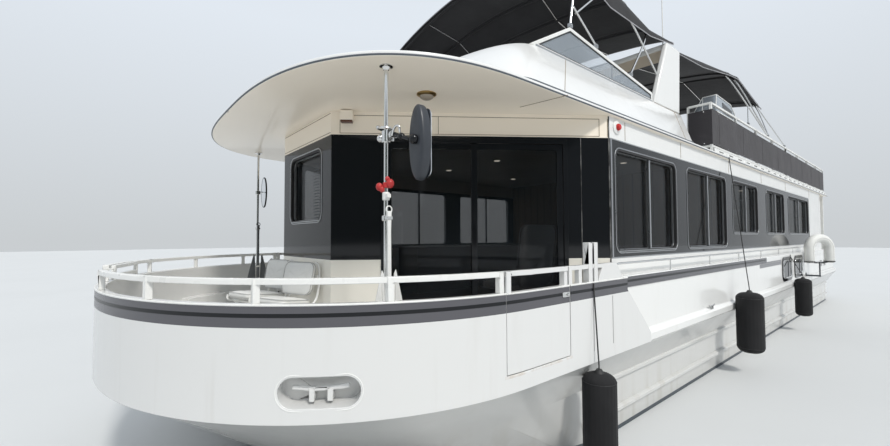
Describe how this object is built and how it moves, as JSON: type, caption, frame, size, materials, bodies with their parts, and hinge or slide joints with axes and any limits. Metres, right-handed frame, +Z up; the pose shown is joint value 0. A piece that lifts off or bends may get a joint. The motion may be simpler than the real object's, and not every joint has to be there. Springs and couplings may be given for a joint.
{
  "type": "motor yacht",
  "caption": "Wide motor yacht with a rounded walled bow deck, a full-length glazed cabin, and a railed upper deck with a helm, arch and folding canopies.",
  "frame": {"origin": "on the centreline at the waterline, 9.5 m aft of the bow's tip", "axes": "+Z up, -Y towards the bow, +X to port"},
  "size_m": [5.5096, 18.7, 8.39],
  "materials": {
    "gelcoat": "glossy warm white gelcoat",
    "deck": "moulded non-slip deck",
    "black": "glossy black band and frames",
    "glass": "dark tinted glass",
    "steel": "polished stainless tube",
    "rail": "white coated rail",
    "canvas": "charcoal marine canvas",
    "cloth": "dark grey weather cloth",
    "housing": "dark grey moulded housing",
    "fender": "black fender cover",
    "vinyl": "white marine vinyl",
    "bronze": "cast bronze",
    "iron": "galvanised, dulled",
    "wood": "stained joinery"
  },
  "bodies": {
    "boat": {"hull": "gelcoat", "main_deck": "deck", "bow_bulwark": "gelcoat", "side_deck_port": "gelcoat", "side_deck_starboard": "gelcoat", "bow_rail_port": "rail", "bow_rail_starboard": "rail", "cabin_front": "gelcoat", "cabin_corner_port": "gelcoat", "cabin_corner_starboard": "gelcoat", "cabin_side_port": "gelcoat", "cabin_side_starboard": "gelcoat", "cabin_aft": "gelcoat", "side_glazing_port": "glass", "side_glazing_starboard": "glass", "front_glazing": "glass", "aft_glazing": "glass", "door_fixed": "black", "upper_deck": "gelcoat", "flybridge_coaming": "gelcoat", "windscreen_port": "glass", "windscreen_starboard": "glass", "radar_arch": "gelcoat", "bimini_forward_frame": "steel", "bimini_forward_canvas": "canvas", "bimini_aft_frame": "steel", "bimini_aft_canvas": "canvas", "upper_rail": "rail", "weather_cloth": "cloth", "helm_console": "gelcoat", "helm_seat": "vinyl", "grill": "steel", "pole_port": "steel", "pole_starboard": "steel", "mirror_port": "housing", "mirror_starboard": "housing", "anchor_port": "rail", "anchor_starboard": "iron", "deck_chair_port": "vinyl", "deck_chair_starboard": "vinyl", "aft_post_port": "rail", "aft_post_starboard": "rail", "swim_platform": "gelcoat", "shaft_strut_port": "bronze", "shaft_strut_starboard": "bronze", "fender_forward": "fender", "fender_middle": "fender", "fender_aft": "fender", "horseshoe_buoy": "vinyl", "saloon_settee": "vinyl", "saloon_bulkhead": "wood"},
    "gate_port": {"side_gate_port": "gelcoat"},
    "gate_starboard": {"side_gate_starboard": "gelcoat"},
    "gate_bow": {"bow_gate": "rail"},
    "leaf_sliding": {"door_sliding": "black"},
    "leaf_aft": {"aft_door": "gelcoat"},
    "screw_port": {"propeller_port": "bronze"},
    "screw_starboard": {"propeller_starboard": "bronze"},
    "blade_port": {"rudder_port": "bronze"},
    "blade_starboard": {"rudder_starboard": "bronze"}
  },
  "joints": [
    {"name": "gate_port_hinge", "type": "hinge", "parent": "boat", "child": "gate_port", "pos_m": [2.441, -7.257, 1.2], "axis": [0, 0, 1], "range_deg": [0, 90]},
    {"name": "gate_starboard_hinge", "type": "hinge", "parent": "boat", "child": "gate_starboard", "pos_m": [-2.441, -7.257, 1.2], "axis": [0, 0, -1], "range_deg": [0, 90]},
    {"name": "gate_bow_hinge", "type": "hinge", "parent": "boat", "child": "gate_bow", "pos_m": [-0.45096, -9.37852, 1.73], "axis": [0, 0, -1], "range_deg": [0, 160]},
    {"name": "front_door_slide", "type": "slide", "parent": "boat", "child": "leaf_sliding", "axis": [-0.5892, -0.808, 0], "range_m": [0, 0.84]},
    {"name": "aft_door_hinge", "type": "hinge", "parent": "boat", "child": "leaf_aft", "pos_m": [0.347, 7.212, 2], "axis": [0, 0, -1], "range_deg": [0, 110]},
    {"name": "propeller_port_spin", "type": "hinge", "parent": "boat", "child": "screw_port", "pos_m": [0.95, 7.05, -0.8], "axis": [0, 0.9895, -0.1444], "continuous": true},
    {"name": "propeller_starboard_spin", "type": "hinge", "parent": "boat", "child": "screw_starboard", "pos_m": [-0.95, 7.05, -0.8], "axis": [0, 0.9895, -0.1444], "continuous": true},
    {"name": "rudder_port_turn", "type": "hinge", "parent": "boat", "child": "blade_port", "pos_m": [0.95, 7.68, -0.8], "axis": [0, 0, 1], "range_deg": [-35, 35]},
    {"name": "rudder_starboard_turn", "type": "hinge", "parent": "boat", "child": "blade_starboard", "pos_m": [-0.95, 7.68, -0.8], "axis": [0, 0, 1], "range_deg": [-35, 35]}
  ],
  "couplings": [
    {"joint": "rudder_starboard_turn", "follows": "rudder_port_turn", "ratio": 1}
  ]
}
